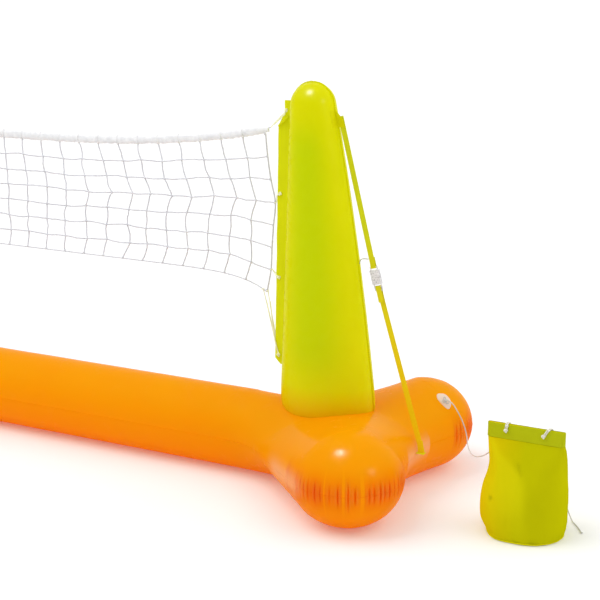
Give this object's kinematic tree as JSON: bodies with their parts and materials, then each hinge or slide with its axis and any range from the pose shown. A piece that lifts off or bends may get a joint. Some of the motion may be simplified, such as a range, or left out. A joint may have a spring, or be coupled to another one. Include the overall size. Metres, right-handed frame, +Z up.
{
  "type": "floating volleyball net",
  "caption": "Inflatable pool volleyball set: an orange floating base with two lime posts, a cord net between them, side straps with buckles, and an anchor bag on a tether.",
  "frame": {"origin": "on the ground, at the middle of the underside of the base's long beam", "axes": "+X along the net towards the post whose end has the tether and bag, +Y to the back, +Z up"},
  "size_m": [2.7294, 0.6422, 0.9127],
  "materials": {
    "orange_vinyl": "smooth glossy inflated vinyl",
    "lime_vinyl": "smooth semi-gloss vinyl",
    "flap_vinyl": "flat welded vinyl sheet",
    "strap_vinyl": "narrow flat strap",
    "white_cord": "twisted white cord",
    "tape_fabric": "folded white tape",
    "buckle_plastic": "clear moulded plastic",
    "valve_vinyl": "soft clear moulded vinyl",
    "patch_vinyl": "thin welded patch"
  },
  "bodies": {
    "root": {"anchor_bag": "lime_vinyl", "anchor_patch": "patch_vinyl", "bag_hem": "flap_vinyl", "bag_tie_left": "white_cord", "bag_tie_right": "white_cord", "base_bottom_skin": "orange_vinyl", "base_top_skin": "orange_vinyl", "base_valve_stem": "valve_vinyl", "buckle_plug_left": "buckle_plastic", "buckle_plug_right": "buckle_plastic", "buckle_socket_left": "buckle_plastic", "buckle_socket_right": "buckle_plastic", "net_flap_left": "flap_vinyl", "net_flap_right": "flap_vinyl", "net_foot_rope": "white_cord", "net_head_rope": "white_cord", "net_head_tape": "tape_fabric", "net_mesh": "white_cord", "net_side_cord_left": "white_cord", "net_side_cord_right": "white_cord", "net_tie_1_left": "white_cord", "net_tie_1_right": "white_cord", "net_tie_2_left": "white_cord", "net_tie_2_right": "white_cord", "net_tie_3_left": "white_cord", "net_tie_3_right": "white_cord", "net_tie_4_left": "white_cord", "net_tie_4_right": "white_cord", "post_left_back_skin": "lime_vinyl", "post_left_foot_sheet": "lime_vinyl", "post_left_front_skin": "lime_vinyl", "post_left_valve_stem": "valve_vinyl", "post_right_back_skin": "lime_vinyl", "post_right_foot_sheet": "lime_vinyl", "post_right_front_skin": "lime_vinyl", "post_right_valve_stem": "valve_vinyl", "strap_foot_tab_left": "flap_vinyl", "strap_foot_tab_right": "flap_vinyl", "strap_keeper_left": "white_cord", "strap_keeper_right": "white_cord", "strap_lower_left": "strap_vinyl", "strap_lower_right": "strap_vinyl", "strap_top_tab_left": "flap_vinyl", "strap_top_tab_right": "flap_vinyl", "strap_upper_left": "strap_vinyl", "strap_upper_right": "strap_vinyl", "tether_cord": "white_cord", "tether_knot": "white_cord", "tether_tail": "white_cord"},
    "base_cap": {"base_valve_cap": "valve_vinyl"},
    "left_inner_prong": {"buckle_prong_inner_left": "buckle_plastic"},
    "left_outer_prong": {"buckle_prong_outer_left": "buckle_plastic"},
    "left_post_cap": {"post_left_valve_cap": "valve_vinyl"},
    "right_inner_prong": {"buckle_prong_inner_right": "buckle_plastic"},
    "right_outer_prong": {"buckle_prong_outer_right": "buckle_plastic"},
    "right_post_cap": {"post_right_valve_cap": "valve_vinyl"}
  },
  "joints": [
    {"name": "left_inner_prong_flex", "type": "hinge", "parent": "root", "child": "left_inner_prong", "pos_m": [-1.03773, 0, 0.48216], "axis": [0, -1, 0], "range_deg": [0, 7], "stiffness_Nm_per_rad": 0.02},
    {"name": "left_outer_prong_flex", "type": "hinge", "parent": "root", "child": "left_outer_prong", "pos_m": [-1.05217, 0, 0.48622], "axis": [0, -1, 0], "range_deg": [-7, 0], "stiffness_Nm_per_rad": 0.02},
    {"name": "left_post_cap_hinge", "type": "hinge", "parent": "root", "child": "left_post_cap", "pos_m": [-0.92529, -0.07917, 0.33024], "axis": [0.0044, -0.0329, -0.9994], "range_deg": [0, 150]},
    {"name": "right_inner_prong_flex", "type": "hinge", "parent": "root", "child": "right_inner_prong", "pos_m": [1.03773, 0, 0.48216], "axis": [0, 1, 0], "range_deg": [0, 7], "stiffness_Nm_per_rad": 0.02},
    {"name": "right_outer_prong_flex", "type": "hinge", "parent": "root", "child": "right_outer_prong", "pos_m": [1.05217, 0, 0.48622], "axis": [0, 1, 0], "range_deg": [-7, 0], "stiffness_Nm_per_rad": 0.02},
    {"name": "right_post_cap_hinge", "type": "hinge", "parent": "root", "child": "right_post_cap", "pos_m": [0.92529, 0.07917, 0.33024], "axis": [-0.0044, 0.0329, -0.9994], "range_deg": [0, 150]},
    {"name": "base_cap_hinge", "type": "hinge", "parent": "root", "child": "base_cap", "pos_m": [0.4595, 0.07416, 0.15809], "axis": [0, 0.7033, -0.7109], "range_deg": [0, 150]}
  ],
  "couplings": [
    {"joint": "left_outer_prong_flex", "follows": "left_inner_prong_flex", "ratio": -1},
    {"joint": "right_outer_prong_flex", "follows": "right_inner_prong_flex", "ratio": -1}
  ]
}
